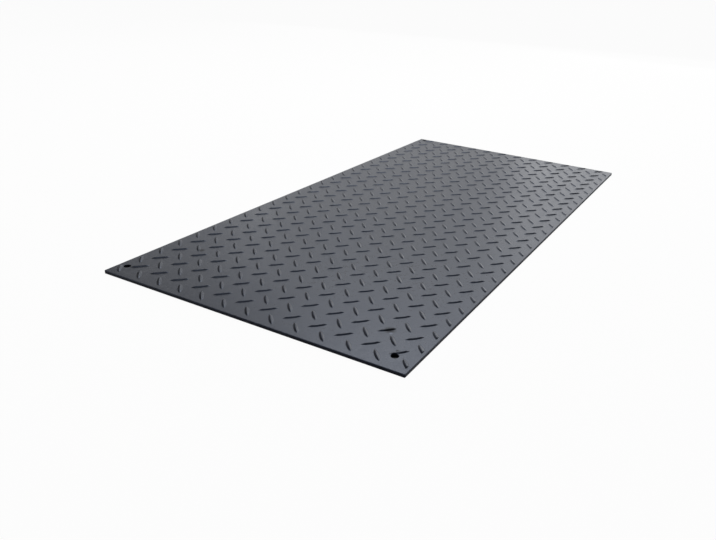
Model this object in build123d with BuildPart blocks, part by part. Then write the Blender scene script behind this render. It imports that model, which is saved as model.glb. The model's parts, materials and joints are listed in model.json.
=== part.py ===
from build123d import *
import os
from math import cos, floor, hypot, radians, sin

# Ground protection mat: one moulded sheet with a raised tread on top and four through holes.
# X runs along the sheet, Y across it and Z up. The origin is the middle of the flat underside.

# Sheet
sheet_length = 2440
sheet_width = 1220
sheet_thickness = 12.7
corner_radius = 3
rim_chamfer = 1.5

# Tread lugs: pointed ridges that come down to nothing at both tips
lug_length = 68
lug_crest = 26
lug_width = 15
lug_height = 4
lug_lean = 43

# Tread layout: lugs that lean one way, and half a pitch on the lugs that lean the other way
pitch_along = 96.6
pitch_across = 97.6
first_lug_from_end = 44
first_lug_from_side = 21
plain_border = 10

# Through holes, one near each corner; the pattern stands off the sheet's centre
hole_diameter = 25
hole_from_near_end = 69
hole_from_far_end = 30
hole_from_right_side = 72
hole_from_left_side = 37

# Places worked out from the sizes
tread_length = sheet_length - 2 * plain_border
tread_width = sheet_width - 2 * plain_border
first_lug_x = first_lug_from_end - sheet_length / 2
first_lug_y = first_lug_from_side - sheet_width / 2
hole_spacing_along = sheet_length - hole_from_near_end - hole_from_far_end
hole_spacing_across = sheet_width - hole_from_right_side - hole_from_left_side
hole_middle_x = (hole_from_near_end - hole_from_far_end) / 2
hole_middle_y = (hole_from_right_side - hole_from_left_side) / 2
hole_places = [
    (hole_middle_x + end * hole_spacing_along / 2, hole_middle_y + side * hole_spacing_across / 2)
    for end in (-1, 1)
    for side in (-1, 1)
]


def steps(start, pitch, end):
    """Places a pitch apart, from the first to the last before the end."""
    return [start + count * pitch for count in range(floor((end - start) / pitch) + 1)]


def lug_centres(shift):
    """Centres of the lugs that lean one way; shift is the share of a pitch they are moved by."""
    along = steps(first_lug_x + shift * pitch_along, pitch_along, tread_length / 2)
    across = steps(first_lug_y + shift * pitch_across, pitch_across, tread_width / 2)
    return [(x, y) for x in along for y in across]


def is_whole(x, y):
    """True where a lug stays clear of the plain border and of every hole."""
    inside_x = abs(x) + lug_length / 2 * cos(radians(lug_lean)) <= tread_length / 2
    inside_y = abs(y) + lug_length / 2 * sin(radians(lug_lean)) <= tread_width / 2
    hole_reach = (lug_length + hole_diameter) / 2
    clear = all(hypot(x - hole_x, y - hole_y) > hole_reach for hole_x, hole_y in hole_places)
    return inside_x and inside_y and clear


lug_places = [
    Location((x, y, sheet_thickness), (0, 0, lean))
    for shift, lean in ((0, lug_lean), (0.5, -lug_lean))
    for x, y in lug_centres(shift)
]
whole_places = [place for place in lug_places if is_whole(place.position.X, place.position.Y)]
cut_places = [place for place in lug_places if not is_whole(place.position.X, place.position.Y)]

# One lug, lying along X: a ridge with a pyramid drawn out of each end
with BuildPart() as lug:
    with BuildSketch(Plane.YZ):
        Polygon((-lug_width / 2, 0), (lug_width / 2, 0), (0, lug_height), align=None)
    extrude(amount=lug_crest / 2)
    crest_end = lug.faces().sort_by(Axis.X)[-1]
    loft(sections=[crest_end, Vertex(lug_length / 2, 0, 0)], ruled=True)
    mirror(about=Plane.YZ)

# The lugs that the plain border or a hole cuts into
with BuildPart() as cut_lugs:
    with Locations(*cut_places):
        add(lug.part)
    Box(tread_length, tread_width, 3 * sheet_thickness, mode=Mode.INTERSECT)
    with Locations(*hole_places):
        Cylinder(hole_diameter / 2, 3 * sheet_thickness, mode=Mode.SUBTRACT)

# The mat: the sheet with its holes, then every lug fused to its top
with BuildPart() as mat:
    with BuildSketch():
        RectangleRounded(sheet_length, sheet_width, corner_radius)
    extrude(amount=sheet_thickness)
    chamfer(mat.faces().sort_by(Axis.Z)[-1].edges(), rim_chamfer)
    with Locations(*hole_places):
        Hole(hole_diameter / 2)
    add([lug.part.moved(place) for place in whole_places] + [cut_lugs.part], clean=False)

mat.part.label = "mat"
os.makedirs("parts", exist_ok=True)
export_step(mat.part, "parts/mat.step")

print("lugs:", len(whole_places), "whole and", len(cut_lugs.solids()), "cut")
print("solids:", len(mat.solids()), "volume in litres:", round(mat.part.volume / 1e6, 3))
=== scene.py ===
import json
from math import cos, floor, hypot, pi, radians, sin

import bpy
from mathutils import Matrix, Vector, geometry, noise


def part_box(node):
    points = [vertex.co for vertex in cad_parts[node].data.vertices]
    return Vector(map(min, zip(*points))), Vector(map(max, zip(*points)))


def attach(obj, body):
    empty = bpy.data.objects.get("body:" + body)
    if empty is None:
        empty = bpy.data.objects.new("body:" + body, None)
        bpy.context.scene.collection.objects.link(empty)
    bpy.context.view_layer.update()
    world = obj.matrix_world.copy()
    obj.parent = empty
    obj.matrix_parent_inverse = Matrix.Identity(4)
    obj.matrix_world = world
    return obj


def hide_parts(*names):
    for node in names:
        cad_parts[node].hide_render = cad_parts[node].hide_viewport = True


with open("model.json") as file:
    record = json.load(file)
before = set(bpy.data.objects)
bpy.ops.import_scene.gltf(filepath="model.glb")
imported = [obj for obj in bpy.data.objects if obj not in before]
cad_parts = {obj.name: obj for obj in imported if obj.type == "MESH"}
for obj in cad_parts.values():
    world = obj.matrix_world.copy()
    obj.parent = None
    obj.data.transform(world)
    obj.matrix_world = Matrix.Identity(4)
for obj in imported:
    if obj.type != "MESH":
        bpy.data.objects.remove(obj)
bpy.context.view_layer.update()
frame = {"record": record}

MM = 0.001
MAT_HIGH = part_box("mat")[1]

# Sheet
HALF_LENGTH = MAT_HIGH[0]
HALF_WIDTH = MAT_HIGH[1]
LUG_HEIGHT = 4 * MM
SHEET_TOP = MAT_HIGH[2] - LUG_HEIGHT
CORNER_RADIUS = 3 * MM
CORNER_STEPS = 6
RIM_ROUND = 1.2 * MM
RIM_STEPS = 4
RIM_FLAT = 1 * MM
UNDER_ROUND = 0.8 * MM
SIDE_STEP = 40 * MM
FILL_STEP = 48 * MM
SAG_DEPTH = 0.25 * MM
SAG_SCALE = 2.6

# Tread: rows of lugs that lean one way, and half a pitch on the rows that lean the other way
LUG_LENGTH = 66 * MM
LUG_WIDTH = 14 * MM
LUG_LEAN = radians(43)
LUG_SIDE_POINTS = 10
PITCH_ALONG = 96.6 * MM
PITCH_ACROSS = 97.6 * MM
FIRST_ALONG = 44 * MM
FIRST_ACROSS = 21 * MM
PLAIN_BORDER = 10 * MM
BORDER_DRAFT = 0.5 * MM

# A lug's rings, from the sheet to its crest: how far in as a share of its half width, and how high
LUG_RINGS = ((-0.4, 0), (-0.1, 0), (0.04, 0.07), (0.2, 0.31), (0.55, 0.74), (0.88, 0.99))
CREST_SHORTENING = 0.45
FLANK_STEPS = 8

# Holes
HOLES = [mount["pos_m"][:2] for mount in frame["record"]["mounts"] if mount["kind"] == "bore"]
HOLE_RADIUS = 12.5 * MM
HOLE_ROUND = 0.7 * MM
HOLE_FLAT = 0.6 * MM
HOLE_MARGIN = 4 * MM
HOLE_POINTS = 40

# Marks of use: the place of each, and the two radii between which it fades out
SCUFF = ((-1043 * MM, -463 * MM, SHEET_TOP), 3 * MM, 7 * MM)
SMEAR = ((-1027 * MM, -450 * MM, SHEET_TOP), 10 * MM, 24 * MM)
SPECK = ((-1121 * MM, -530 * MM, SHEET_TOP), 2 * MM, 7 * MM)
STAIN = ((-895 * MM, 460 * MM, SHEET_TOP), 7 * MM, 15 * MM)

# Plastic
PLASTIC_COLOUR = (0.0105, 0.0118, 0.0185)
GLOSS_TINT = (0.62, 0.74, 1.0, 1.0)
BROAD_SCALE = 2.2
PATCH_SCALE = 3.5
MOTTLE_SCALE = 60.0
GRAIN_SCALE = 650.0
SCRATCH_SCALE = (3, 210, 3)
SCRATCH_TURNS = (radians(20), radians(-55))
GRAIN_DEPTH = 0.05 * MM
MOTTLE_DEPTH = 0.15 * MM
SCRATCH_DEPTH = 0.03 * MM
RELIEF_STRENGTH = 0.6

# Floor
FLOOR_REACH = 60
FLOOR_COLOUR = (0.86, 0.86, 0.86, 1)
# painted shade: dark grey for the floor under the mat, seen through the holes
PAINTED_SHADE_COLOUR = (0.25, 0.25, 0.25, 1)
WHITE = (1, 1, 1, 1)
WHITE_SHARE = 0.96

# Camera
SENSOR_WIDTH = 36
FOCAL_LENGTH = 34.37
SIDE_SHIFT = -0.0634
CAMERA_PLACE = (-2.66, -1.343, 1.0763)
CAMERA_LOOK = (0.8047, 0.422, -0.4176)
CAMERA_ROLL = radians(2.94)

# Light: the place of each lamp, the point it faces, its two sides and its power in watts
FILL_STRENGTH = 0.17
LAMPS = {
    "backdrop": ((6.5, 1.2, 2.6), (0, 0, 0.4), (10, 5), 130),
    "right": ((6.2, -0.3, 2.1), (0, 0, 0.4), (4, 4), 42),
    "side": ((3.5, 5.2, 2.7), (-1, 0, 0.2), (2.2, 2.8), 17),
    "overhead": ((2.6, 1.0, 4.2), (0, 0, 0), (3.4, 3.4), 125),
    "top": ((-1.0, 1.1, 4.0), (-1, 1.1, 0), (2.2, 1.8), 14),
}


def places(first, last, pitch):
    """Evenly pitched places from the first up to the last that fits."""
    return [first + step * pitch for step in range(floor((last - first) / pitch) + 1)]


def lug_centres():
    """Every lug as its centre and lean."""
    lugs = []
    for share, lean in ((0, LUG_LEAN), (0.5, -LUG_LEAN)):
        first_x = -HALF_LENGTH + FIRST_ALONG + share * PITCH_ALONG
        first_y = -HALF_WIDTH + FIRST_ACROSS + share * PITCH_ACROSS
        for x in places(first_x, HALF_LENGTH - PLAIN_BORDER, PITCH_ALONG):
            for y in places(first_y, HALF_WIDTH - PLAIN_BORDER, PITCH_ACROSS):
                lugs.append((x, y, lean))
    return lugs


LUGS = lug_centres()


def half_width(share):
    """Half the width of a lug at a share of the way from its middle to its tip."""
    return LUG_WIDTH / 2 * (1 - abs(share) ** 3)


def ring_length(inward):
    """Half the length of a lug's ring; the crest is shorter than the foot."""
    return LUG_LENGTH / 2 * (1 - CREST_SHORTENING * inward)


def inside_ring(along, aside, inward):
    """True where a point lies inside the ring that far in from a lug's edge."""
    share = along / ring_length(inward)
    return abs(share) < 1 and abs(aside) < (1 - inward) * half_width(share)


def flank(along, aside):
    """Height share of a lug at a point inside its foot."""
    height = 0
    for (low, low_height), (high, high_height) in zip(LUG_RINGS, LUG_RINGS[1:]):
        for step in range(1, FLANK_STEPS + 1):
            if inside_ring(along, aside, low + (high - low) * step / FLANK_STEPS):
                height = low_height + (high_height - low_height) * step / FLANK_STEPS
    return height


def lug_rise(x, y):
    """Height of the tread above the sheet at a point."""
    rise = 0
    for lug_x, lug_y, lean in LUGS:
        along = (x - lug_x) * cos(lean) + (y - lug_y) * sin(lean)
        aside = -(x - lug_x) * sin(lean) + (y - lug_y) * cos(lean)
        if inside_ring(along, aside, 0):
            rise = max(rise, LUG_HEIGHT * flank(along, aside))
    return rise


def ground(x, y):
    """Height of the plain sheet at a point, with the slight sag of a moulded sheet."""
    return SHEET_TOP - SAG_DEPTH * (0.5 + 0.5 * noise.noise(Vector((x, y, 0)) * SAG_SCALE))


def tread_surface(x, y):
    """Height of the sheet and its tread at a point."""
    return ground(x, y) + lug_rise(x, y)


def in_hole(x, y, margin=0):
    """True inside any of the through holes, widened by a margin."""
    return any(hypot(x - hole_x, y - hole_y) < HOLE_RADIUS + margin for hole_x, hole_y in HOLES)


def rounded_outline(inset):
    """The sheet's outline, counter-clockwise, moved inward by the inset."""
    half_x = HALF_LENGTH - CORNER_RADIUS
    half_y = HALF_WIDTH - CORNER_RADIUS
    radius = CORNER_RADIUS - inset
    points = []
    corners = ((half_x, -half_y), (half_x, half_y), (-half_x, half_y), (-half_x, -half_y))
    for number, (corner_x, corner_y) in enumerate(corners):
        start = (number - 1) * pi / 2
        for step in range(CORNER_STEPS + 1):
            turn = start + step * pi / 2 / CORNER_STEPS
            points.append((corner_x + radius * cos(turn), corner_y + radius * sin(turn)))
        end_x, end_y = points[-1]
        next_x, next_y = corners[(number + 1) % 4]
        side_x = next_x - corner_x
        side_y = next_y - corner_y
        stops = int(hypot(side_x, side_y) / SIDE_STEP)
        for stop in range(1, stops):
            points.append((end_x + side_x * stop / stops, end_y + side_y * stop / stops))
    return points


def hole_circle(hole, radius):
    """Points round one hole, counter-clockwise."""
    turns = [2 * pi * step / HOLE_POINTS for step in range(HOLE_POINTS)]
    return [(hole[0] + radius * cos(turn), hole[1] + radius * sin(turn)) for turn in turns]


def clipped(ring, axis, side, limit):
    """The part of a ring on the inner side of a border line."""
    kept = []
    for here, after in zip(ring, ring[1:] + ring[:1]):
        room_here = limit - side * here[axis]
        room_after = limit - side * after[axis]
        if room_here >= 0:
            kept.append(here)
        if room_here * room_after < 0:
            share = room_here / (room_here - room_after)
            kept.append(tuple(a + share * (b - a) for a, b in zip(here, after)))
    return kept


def lug_ring(lug, inward, level):
    """One pointed ring round a lug, cut where it would run into the plain border."""
    lug_x, lug_y, lean = lug
    ring = []
    for side in (1, -1):
        for step in range(LUG_SIDE_POINTS):
            share = side * cos(pi * step / LUG_SIDE_POINTS)
            along = share * ring_length(inward)
            aside = side * (1 - inward) * half_width(share)
            x = lug_x + along * cos(lean) - aside * sin(lean)
            y = lug_y + along * sin(lean) + aside * cos(lean)
            ring.append((x, y))
    for axis, half in ((0, HALF_LENGTH), (1, HALF_WIDTH)):
        for side in (1, -1):
            ring = clipped(ring, axis, side, half - PLAIN_BORDER - BORDER_DRAFT * level)
    return ring


def clear_runs(ring):
    """The stretches of a ring that keep clear of the holes; one that meets none comes back closed."""
    clear = [not in_hole(x, y, HOLE_MARGIN) for x, y in ring]
    if all(clear):
        return [ring + ring[:1]]
    start = clear.index(False)
    runs = [[]]
    for step in range(start, start + len(ring)):
        if clear[step % len(ring)]:
            runs[-1].append(ring[step % len(ring)])
        elif runs[-1]:
            runs.append([])
    return [run for run in runs if run]


class Shell:
    """Collects a closed mesh's vertices and faces."""

    def __init__(self):
        self.vertices = []
        self.faces = []

    def line(self, points, height):
        """Adds a line of points, at the height that a function gives, and returns their numbers."""
        first = len(self.vertices)
        self.vertices += [(x, y, height(x, y)) for x, y in points]
        return list(range(first, len(self.vertices)))

    def wall(self, lower, upper):
        """Joins two loops of equal count with quads."""
        for step in range(len(lower)):
            after = (step + 1) % len(lower)
            self.faces.append((lower[step], lower[after], upper[after], upper[step]))

    def skin(self, loops, lines, hole_margin, facing_up):
        """Fills the first loop with triangles that keep the rest, and leaves the holes and a margin open."""
        numbers = []
        edges = []
        for run in [loop + loop[:1] for loop in loops] + lines:
            first = len(numbers)
            numbers += run
            edges += [(first + step, first + step + 1) for step in range(len(run) - 1)]
        flat = [Vector(self.vertices[number][:2]) for number in numbers]
        points, _, triangles, origins, _, _ = geometry.delaunay_2d_cdt(flat, edges, [], 0, 1e-7)
        for triangle in triangles:
            middle = sum((points[corner] for corner in triangle), Vector((0, 0))) / 3
            if not in_hole(middle.x, middle.y, hole_margin):
                face = [numbers[origins[corner][0]] for corner in triangle]
                self.faces.append(face if facing_up else face[::-1])

    def build(self, name):
        """Makes the mesh object, smooth all over."""
        mesh = bpy.data.meshes.new(name)
        mesh.from_pydata(self.vertices, [], self.faces)
        mesh.polygons.foreach_set("use_smooth", [True] * len(mesh.polygons))
        piece = bpy.data.objects.new(name, mesh)
        bpy.context.scene.collection.objects.link(piece)
        return piece


def make_rim(shell):
    """The side faces with their rounded edges; gives the loops that bound the underside and the top."""
    foot = shell.line(rounded_outline(UNDER_ROUND), lambda x, y: 0)
    below = shell.line(rounded_outline(0), lambda x, y: UNDER_ROUND)
    loops = [foot, below]
    for step in range(RIM_STEPS + 1):
        turn = pi / 2 * step / RIM_STEPS
        drop = RIM_ROUND * (1 - sin(turn))
        outline = rounded_outline(RIM_ROUND * (1 - cos(turn)))
        loops.append(shell.line(outline, lambda x, y: ground(x, y) - drop))
    loops.append(shell.line(rounded_outline(RIM_ROUND + RIM_FLAT), ground))
    for lower, upper in zip(loops, loops[1:]):
        shell.wall(lower, upper)
    return foot, loops[-1]


def make_bore(shell, hole):
    """One through hole with its rounded mouth; gives the loops that bound the underside and the top."""
    apron = shell.line(hole_circle(hole, HOLE_RADIUS + HOLE_ROUND + HOLE_FLAT), tread_surface)
    mouth = shell.line(hole_circle(hole, HOLE_RADIUS + HOLE_ROUND), tread_surface)
    throat = shell.line(hole_circle(hole, HOLE_RADIUS), lambda x, y: tread_surface(x, y) - HOLE_ROUND)
    base = shell.line(hole_circle(hole, HOLE_RADIUS), lambda x, y: 0)
    shell.wall(apron, mouth)
    shell.wall(mouth, throat)
    shell.wall(throat, base)
    return base, apron


def make_lugs(shell):
    """The rings of every lug, as lines of points for the top to keep."""
    lines = []
    for lug in LUGS:
        for level, (inward, share) in enumerate(LUG_RINGS):
            for run in clear_runs(lug_ring(lug, inward, level)):
                lines.append(shell.line(run, lambda x, y: ground(x, y) + share * LUG_HEIGHT))
    return lines


def make_fill(shell):
    """Points on the plain sheet between the lugs, so that its sag shows."""
    lines = []
    for x in places(-HALF_LENGTH + 0.5 * FILL_STEP, HALF_LENGTH - 0.3 * FILL_STEP, FILL_STEP):
        for y in places(-HALF_WIDTH + 0.5 * FILL_STEP, HALF_WIDTH - 0.3 * FILL_STEP, FILL_STEP):
            if lug_rise(x, y) == 0 and not in_hole(x, y, HOLE_MARGIN):
                lines.append(shell.line([(x, y)], ground))
    return lines


def make_mat():
    """The whole mat as one closed mesh: rim, underside, holes and the top with its lugs."""
    shell = Shell()
    foot, edge = make_rim(shell)
    bores = [make_bore(shell, hole) for hole in HOLES]
    inner_lines = make_lugs(shell) + make_fill(shell)
    shell.skin([foot] + [base for base, apron in bores], [], 0, False)
    shell.skin([edge] + [apron for base, apron in bores], inner_lines, HOLE_ROUND + HOLE_FLAT, True)
    return shell.build("tread_mat")


class Nodes:
    """Adds and joins the shader nodes of a material or world."""

    def __init__(self, owner):
        owner.use_nodes = True
        self.tree = owner.node_tree
        self.tree.nodes.clear()

    def add(self, kind, inputs, **settings):
        """Adds a node, whose inputs are values or other nodes' outputs, and gives its first output."""
        node = self.tree.nodes.new("ShaderNode" + kind)
        for name, value in settings.items():
            setattr(node, name, value)
        for name, value in inputs.items():
            if isinstance(value, bpy.types.NodeSocket):
                self.tree.links.new(value, node.inputs[name])
            else:
                node.inputs[name].default_value = value
        return node.outputs[0] if node.outputs else None

    def math(self, operation, first, second=0.0):
        """One sum, product or the like of two values."""
        return self.add("Math", {0: first, 1: second}, operation=operation)

    def noise(self, place, scale, detail=2.0):
        """Soft random variation over a place."""
        return self.add("TexNoise", {"Vector": place, "Scale": scale, "Detail": detail})

    def span(self, value, low, high, start=0.0, end=1.0):
        """Maps a value's run from low to high onto start to end, and holds it there beyond."""
        return self.add("MapRange", {0: value, 1: low, 2: high, 3: start, 4: end})

    def total(self, *values):
        """Sum of several values."""
        result = values[0]
        for value in values[1:]:
            result = self.math("ADD", result, value)
        return result


def spot(nodes, place, centre, core, reach):
    """A soft round mask: 1 within the core and 0 beyond the reach, both in metres."""
    gap = nodes.tree.nodes.new("ShaderNodeVectorMath")
    gap.operation = "DISTANCE"
    nodes.tree.links.new(place, gap.inputs[0])
    gap.inputs[1].default_value = centre
    return nodes.span(gap.outputs["Value"], core, reach, 1.0, 0.0)


def scratches(nodes, place, turn):
    """Fine straight scratches that run one way, in patches."""
    along = nodes.add("Mapping", {"Vector": place, "Rotation": (0, 0, turn), "Scale": SCRATCH_SCALE})
    lines = nodes.math("ABSOLUTE", nodes.math("SUBTRACT", nodes.noise(along, 1.0, 1.0), 0.5))
    patches = nodes.span(nodes.noise(place, PATCH_SCALE), 0.52, 0.62)
    return nodes.math("MULTIPLY", nodes.span(lines, 0.002, 0.008, 1.0, 0.0), patches)


def crest_wear(nodes, height, mottle):
    """Where feet and tyres have dulled the tops of the lugs."""
    crest = nodes.span(height, SHEET_TOP + 0.6 * LUG_HEIGHT, SHEET_TOP + LUG_HEIGHT)
    return nodes.math("MULTIPLY", crest, nodes.span(mottle, 0.42, 0.62))


def rim_wear_and_highlight(nodes, axes, height, mottle):
    """Where handling has dulled the sheet's upper edge, together with a painted highlight along that rounded
    edge.
    """
    past_end = nodes.math("SUBTRACT", nodes.math("ABSOLUTE", axes[0]), HALF_LENGTH - RIM_ROUND)
    past_side = nodes.math("SUBTRACT", nodes.math("ABSOLUTE", axes[1]), HALF_WIDTH - RIM_ROUND)
    edge = nodes.span(nodes.math("MAXIMUM", past_end, past_side), -0.5 * MM, 0.5 * MM)
    upper = nodes.span(height, SHEET_TOP - 3 * RIM_ROUND, SHEET_TOP - RIM_ROUND)
    worn = nodes.math("MULTIPLY", edge, upper)
    return nodes.math("MULTIPLY", worn, nodes.span(mottle, 0.35, 0.55, 0.4, 1.0))


def plastic_material():
    """Black moulded polyethylene, dulled by use."""
    material = bpy.data.materials.new("black_polyethylene")
    nodes = Nodes(material)
    coordinates = nodes.tree.nodes.new("ShaderNodeTexCoord")
    place = coordinates.outputs["Object"]
    parts = nodes.tree.nodes.new("ShaderNodeSeparateXYZ")
    nodes.tree.links.new(place, parts.inputs[0])
    height = parts.outputs[2]

    # Where each change lies
    broad = nodes.noise(place, BROAD_SCALE, 3.0)
    mottle = nodes.noise(place, MOTTLE_SCALE, 4.0)
    grain = nodes.noise(place, GRAIN_SCALE)
    crest = crest_wear(nodes, height, mottle)
    rim = rim_wear_and_highlight(nodes, parts.outputs, height, mottle)
    side = nodes.span(height, SHEET_TOP - 2 * RIM_ROUND, SHEET_TOP - RIM_ROUND, 1.0, 0.0)
    scratch = nodes.math("MAXIMUM", *(scratches(nodes, place, turn) for turn in SCRATCH_TURNS))
    scuff = spot(nodes, place, *SCUFF)
    smear = spot(nodes, place, *SMEAR)
    stain = nodes.math("MAXIMUM", spot(nodes, place, *STAIN), spot(nodes, place, *SPECK))

    # Colour
    tone = nodes.total(
        nodes.span(broad, 0.3, 0.7, 0.8, 1.2),
        nodes.span(mottle, 0.3, 0.7, -0.2, 0.2),
        nodes.math("MULTIPLY", crest, 0.15),
        # painted highlight and wear: the band along the rounded upper edge is painted paler
        nodes.math("MULTIPLY", rim, 2.5),
        nodes.math("MULTIPLY", scratch, 1.2),
        nodes.math("MULTIPLY", scuff, 3.0),
        nodes.math("MULTIPLY", stain, -0.9),
        nodes.math("MULTIPLY", smear, -0.9),
    )
    colour = nodes.tree.nodes.new("ShaderNodeVectorMath")
    colour.operation = "SCALE"
    colour.inputs[0].default_value = PLASTIC_COLOUR
    nodes.tree.links.new(nodes.math("MAXIMUM", tone, 0.1), colour.inputs["Scale"])

    # Roughness and gloss
    roughness = nodes.total(
        nodes.span(broad, 0.3, 0.7, 0.31, 0.36),
        nodes.span(mottle, 0.3, 0.7, -0.04, 0.04),
        nodes.span(grain, 0.3, 0.7, -0.05, 0.05),
        nodes.math("MULTIPLY", crest, 0.05),
        nodes.math("MULTIPLY", scratch, 0.1),
        nodes.math("MULTIPLY", side, 0.2),
    )
    gloss = nodes.total(
        nodes.math("MULTIPLY", stain, -0.35),
        nodes.math("MULTIPLY", smear, -0.35),
        nodes.math("MULTIPLY", scuff, 0.35),
        nodes.math("MULTIPLY", side, -0.45),
        nodes.span(mottle, 0.3, 0.7, 0.48, 0.52),
    )

    # Fine relief
    relief = nodes.total(
        nodes.math("MULTIPLY", grain, GRAIN_DEPTH),
        nodes.math("MULTIPLY", mottle, MOTTLE_DEPTH),
        nodes.math("MULTIPLY", scratch, -SCRATCH_DEPTH),
    )
    bumped = nodes.add("Bump", {"Height": relief, "Distance": 1.0, "Strength": RELIEF_STRENGTH})
    shader = nodes.add("BsdfPrincipled", {
        "Base Color": colour.outputs[0],
        "Roughness": roughness,
        "Specular IOR Level": gloss,
        "Specular Tint": GLOSS_TINT,
        "Normal": bumped,
    })
    nodes.add("OutputMaterial", {"Surface": shader})
    return material


def floor_material():
    """Plain pale floor that the camera sees as white, with the mat's shadow still on it."""
    material = bpy.data.materials.new("floor")
    nodes = Nodes(material)
    path = nodes.tree.nodes.new("ShaderNodeLightPath")
    rays = ("Is Camera Ray", "Is Glossy Ray", "Is Transmission Ray")
    seen = nodes.total(*(path.outputs[ray] for ray in rays))
    pale = nodes.add("BsdfDiffuse", {"Color": FLOOR_COLOUR})
    white = nodes.add("Emission", {"Color": WHITE, "Strength": 1.0})
    mixed = nodes.add("MixShader", {0: nodes.math("MULTIPLY", seen, WHITE_SHARE), 1: pale, 2: white})
    nodes.add("OutputMaterial", {"Surface": mixed})
    return material


def painted_shade_material():
    """The floor under the mat, seen only through its holes, painted dark grey as painted shade."""
    material = bpy.data.materials.new("floor_painted_shade")
    nodes = Nodes(material)
    nodes.add("OutputMaterial", {"Surface": nodes.add("BsdfDiffuse", {"Color": PAINTED_SHADE_COLOUR})})
    return material


def make_floor():
    """A plain floor well past the mat on every side; the part under the mat is a face of its own, painted
    darker as painted shade.
    """
    mesh = bpy.data.meshes.new("floor")
    corners = ((-1, -1), (1, -1), (1, 1), (-1, 1))
    shade_x = HALF_LENGTH - CORNER_RADIUS
    shade_y = HALF_WIDTH - CORNER_RADIUS
    vertices = [(x * FLOOR_REACH, y * FLOOR_REACH, 0) for x, y in corners]
    vertices += [(x * shade_x, y * shade_y, 0) for x, y in corners]
    faces = [(step, (step + 1) % 4, 4 + (step + 1) % 4, 4 + step) for step in range(4)] + [(4, 5, 6, 7)]
    mesh.from_pydata(vertices, [], faces)
    mesh.materials.append(floor_material())
    mesh.materials.append(painted_shade_material())
    # the face under the mat gets the painted shade
    mesh.polygons[4].material_index = 1
    piece = bpy.data.objects.new("floor", mesh)
    bpy.context.scene.collection.objects.link(piece)
    return piece


def add_camera():
    """The camera at the photo's viewpoint."""
    camera = bpy.data.cameras.new("camera")
    camera.sensor_width = SENSOR_WIDTH
    camera.lens = FOCAL_LENGTH
    camera.shift_x = SIDE_SHIFT
    holder = bpy.data.objects.new("camera", camera)
    bpy.context.scene.collection.objects.link(holder)
    turn = Vector(CAMERA_LOOK).to_track_quat("-Z", "Y").to_matrix().to_4x4()
    holder.matrix_world = Matrix.Translation(CAMERA_PLACE) @ turn @ Matrix.Rotation(CAMERA_ROLL, 4, "Z")
    bpy.context.scene.camera = holder


def add_lamp(name, place, aim, size, power):
    """A soft rectangular lamp that faces a point."""
    lamp = bpy.data.lights.new(name, "AREA")
    lamp.shape = "RECTANGLE"
    lamp.size, lamp.size_y = size
    lamp.energy = power
    holder = bpy.data.objects.new(name, lamp)
    bpy.context.scene.collection.objects.link(holder)
    holder.location = place
    holder.rotation_euler = (Vector(aim) - Vector(place)).to_track_quat("-Z", "Y").to_euler()
    holder.visible_camera = False


def light_world():
    """Even fill light from all round."""
    world = bpy.data.worlds.new("studio")
    bpy.context.scene.world = world
    nodes = Nodes(world)
    fill = nodes.add("Background", {"Color": WHITE, "Strength": FILL_STRENGTH})
    nodes.add("OutputWorld", {"Surface": fill})


mat = make_mat()
mat.data.materials.append(plastic_material())
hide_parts("mat")
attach(mat, "root")

make_floor()
add_camera()
light_world()
for name, lamp in LAMPS.items():
    add_lamp(name, *lamp)
bpy.context.scene.view_settings.view_transform = "Standard"
